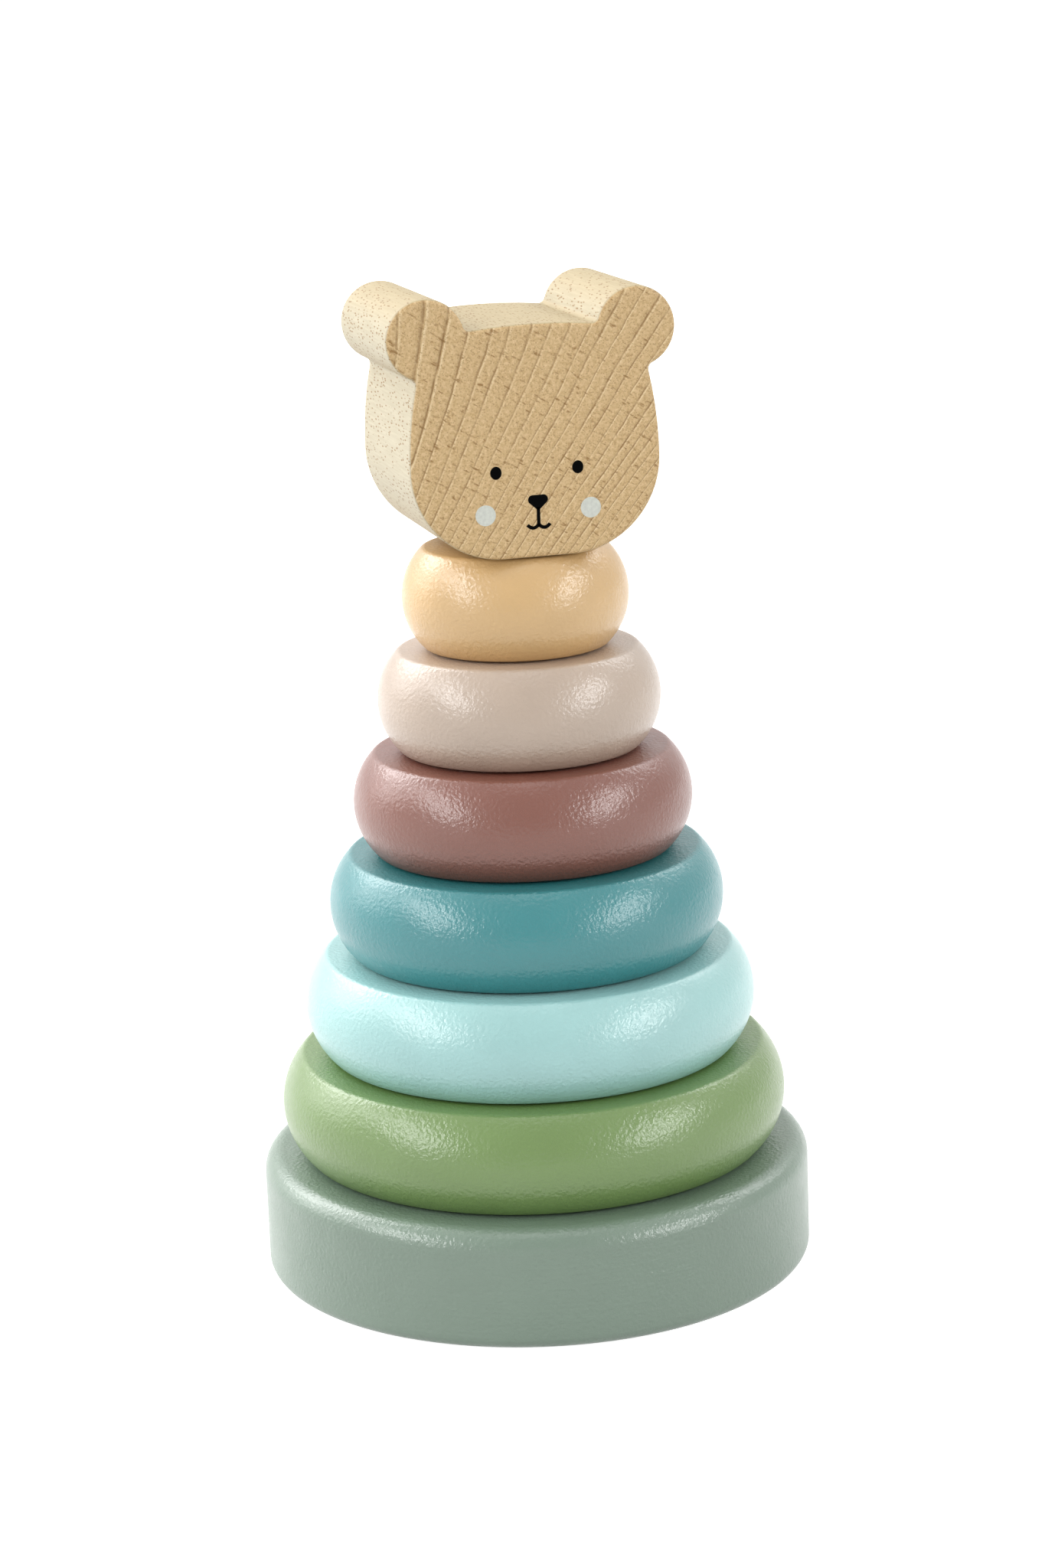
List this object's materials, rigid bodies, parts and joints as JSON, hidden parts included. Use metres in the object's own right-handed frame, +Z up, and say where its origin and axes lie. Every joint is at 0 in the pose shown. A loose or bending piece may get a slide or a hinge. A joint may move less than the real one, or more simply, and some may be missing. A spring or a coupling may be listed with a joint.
{
  "type": "stacking ring toy",
  "caption": "Wooden stacking toy: graded painted rings with bulging sides on a post that stands in a round base, topped by a bear-shaped head.",
  "frame": {"origin": "centre of the base's underside", "axes": "+Z up along the post, bear's face towards -Y, its ears along X"},
  "size_m": [0.1, 0.1, 0.1783],
  "materials": {
    "base_paint": "satin grey-green paint on turned beech",
    "green_paint": "satin leaf-green paint on turned beech",
    "aqua_paint": "satin pale aqua paint on turned beech",
    "teal_paint": "satin teal paint on turned beech",
    "mauve_paint": "satin mauve-brown paint on turned beech",
    "pink_paint": "satin pale pink-beige paint on turned beech",
    "peach_paint": "satin peach paint on turned beech",
    "beech": "clear-oiled beech, end grain on the face"
  },
  "bodies": {
    "stand": {"base": "base_paint", "post": "beech"},
    "green_ring": {"green_ring": "green_paint"},
    "aqua_ring": {"aqua_ring": "aqua_paint"},
    "teal_ring": {"teal_ring": "teal_paint"},
    "mauve_ring": {"mauve_ring": "mauve_paint"},
    "pink_ring": {"pink_ring": "pink_paint"},
    "peach_ring": {"peach_ring": "peach_paint"},
    "bear_head": {"bear_head": "beech"}
  },
  "joints": [
    {"name": "green_ring_lift", "type": "slide", "parent": "stand", "child": "green_ring", "axis": [0, 0, 1], "range_m": [0, 0.134]},
    {"name": "aqua_ring_lift", "type": "slide", "parent": "green_ring", "child": "aqua_ring", "axis": [0, 0, 1], "range_m": [0, 0.1155]},
    {"name": "teal_ring_lift", "type": "slide", "parent": "aqua_ring", "child": "teal_ring", "axis": [0, 0, 1], "range_m": [0, 0.097]},
    {"name": "mauve_ring_lift", "type": "slide", "parent": "teal_ring", "child": "mauve_ring", "axis": [0, 0, 1], "range_m": [0, 0.0785]},
    {"name": "pink_ring_lift", "type": "slide", "parent": "mauve_ring", "child": "pink_ring", "axis": [0, 0, 1], "range_m": [0, 0.06]},
    {"name": "peach_ring_lift", "type": "slide", "parent": "pink_ring", "child": "peach_ring", "axis": [0, 0, 1], "range_m": [0, 0.0415]},
    {"name": "bear_head_lift", "type": "slide", "parent": "peach_ring", "child": "bear_head", "axis": [0, 0, 1], "range_m": [0, 0.023]}
  ]
}
